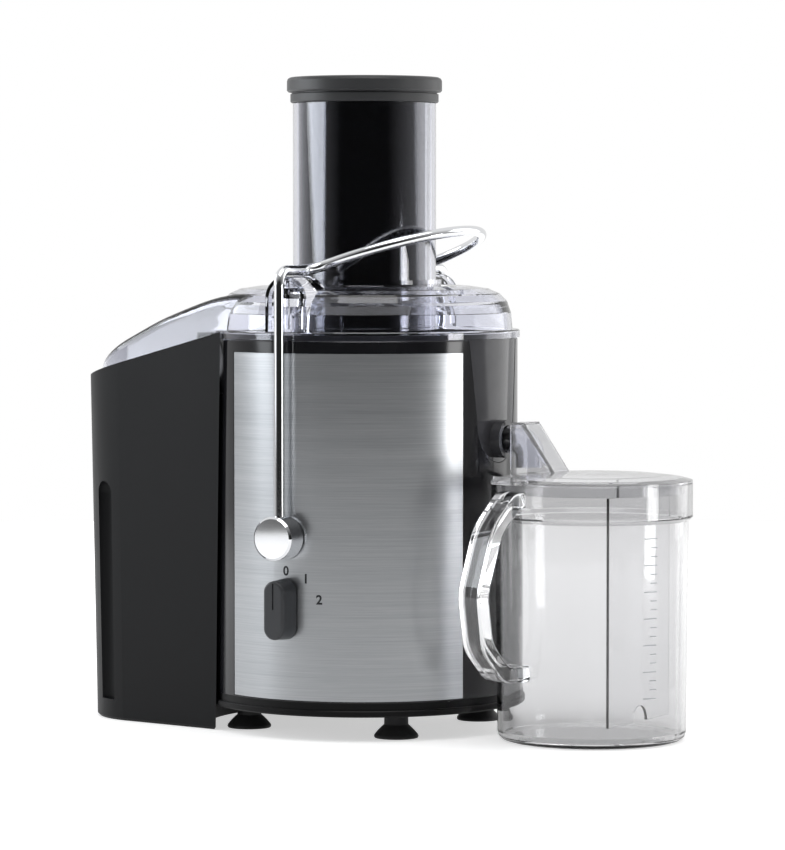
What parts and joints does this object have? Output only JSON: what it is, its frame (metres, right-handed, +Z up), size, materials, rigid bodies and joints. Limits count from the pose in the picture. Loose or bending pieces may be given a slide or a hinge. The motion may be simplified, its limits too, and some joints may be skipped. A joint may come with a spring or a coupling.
{
  "type": "centrifugal juicer",
  "caption": "Centrifugal juicer with a clear lid and wide feed chute, pusher, locking bail, spinning filter basket, pulp bin and a lidded jug under its spout.",
  "frame": {"origin": "on the table, at the centre of the footprint; the spindle stands 16.75 mm towards -X of it", "axes": "+Z up, -Y the front with the switch, +X towards the spout and the jug, -X towards the pulp bin"},
  "size_m": [0.3808, 0.211, 0.3804],
  "materials": {
    "black_gloss": "gloss black ABS",
    "brushed_panel": "horizontal brushed grain",
    "black_satin": "satin black",
    "smoke_gloss": "gloss smoke grey",
    "clear_plastic": "clear polycarbonate",
    "rubber": "soft black",
    "nylon": "moulded nylon",
    "lamination": "stacked sheets",
    "copper_wire": "enamelled copper wire",
    "cast_alloy": "die cast",
    "bearing_steel": "ground",
    "brass": "plain",
    "carbon": "pressed carbon",
    "circuit_board": "solder resist",
    "stainless": "polished",
    "stainless_mesh": "etched mesh",
    "chrome": "polished",
    "pusher_gloss": "gloss black",
    "cap_satin": "satin dark grey",
    "bin_matte": "matte charcoal",
    "clear_jug": "clear styrene",
    "grey_clear": "translucent grey",
    "knob_satin": "satin dark grey"
  },
  "bodies": {
    "base": {"motor_housing": "black_gloss", "front_panel": "brushed_panel", "base_plate": "black_satin", "base_screw_1": "bearing_steel", "base_screw_2": "bearing_steel", "base_screw_3": "bearing_steel", "base_screw_4": "bearing_steel", "foot_1": "rubber", "foot_2": "rubber", "foot_3": "rubber", "foot_4": "rubber", "juice_bowl": "smoke_gloss", "juice_spout": "clear_plastic", "lid": "clear_plastic", "bowl_seal": "rubber", "pivot_bush_front": "nylon", "pivot_bush_rear": "nylon", "stator_core": "lamination", "stator_coils": "copper_wire", "bracket_lower": "cast_alloy", "bracket_upper": "cast_alloy", "bearing_lower_outer": "bearing_steel", "bearing_upper_outer": "bearing_steel", "brush_holder_left": "brass", "brush_holder_right": "brass", "carbon_brush_left": "carbon", "carbon_brush_right": "carbon", "motor_damper_1": "rubber", "motor_damper_2": "rubber", "motor_damper_3": "rubber", "shaft_seal": "rubber", "switch_body": "nylon", "interlock_switch": "nylon", "control_board": "circuit_board", "cord_inlet": "rubber"},
    "rotor": {"motor_shaft": "bearing_steel", "rotor_core": "lamination", "rotor_windings": "copper_wire", "commutator": "brass", "cooling_fan": "nylon", "bearing_lower_inner": "bearing_steel", "bearing_upper_inner": "bearing_steel", "drive_coupler": "nylon", "basket_hub": "black_satin", "grater_disc": "stainless", "filter_mesh": "stainless_mesh", "basket_rim": "black_satin"},
    "arm": {"locking_arm": "chrome", "pivot_cap_front": "chrome", "pivot_cap_rear": "chrome", "interlock_cam": "nylon"},
    "pusher": {"pusher_body": "pusher_gloss", "pusher_cap": "cap_satin"},
    "bin": {"pulp_bin": "bin_matte"},
    "jug": {"jug": "clear_jug", "jug_handle": "clear_jug"},
    "jug_cover": {"jug_lid": "grey_clear", "froth_separator": "clear_jug"},
    "knob": {"switch_knob": "knob_satin"}
  },
  "joints": [
    {"name": "arm_hinge", "type": "hinge", "parent": "base", "child": "arm", "pos_m": [-0.01675, 0, 0.116], "axis": [0, 1, 0], "range_deg": [0, 45]},
    {"name": "pusher_slide", "type": "slide", "parent": "base", "child": "pusher", "axis": [0, 0, 1], "range_m": [0, 0.168]},
    {"name": "bin_slide", "type": "slide", "parent": "base", "child": "bin", "axis": [-1, 0, 0], "range_m": [0, 0.16]},
    {"name": "jug_slide", "type": "slide", "parent": "base", "child": "jug", "axis": [1, 0, 0], "range_m": [0, 0.15]},
    {"name": "jug_lid_lift", "type": "slide", "parent": "jug", "child": "jug_cover", "axis": [0, 0, 1], "range_m": [0, 0.07]},
    {"name": "switch_turn", "type": "hinge", "parent": "base", "child": "knob", "pos_m": [-0.01675, -0.09, 0.075], "axis": [0, 1, 0], "range_deg": [0, 72]},
    {"name": "basket_spin", "type": "hinge", "parent": "base", "child": "rotor", "pos_m": [-0.01675, 0, 0.1], "axis": [0, 0, 1], "continuous": true}
  ]
}
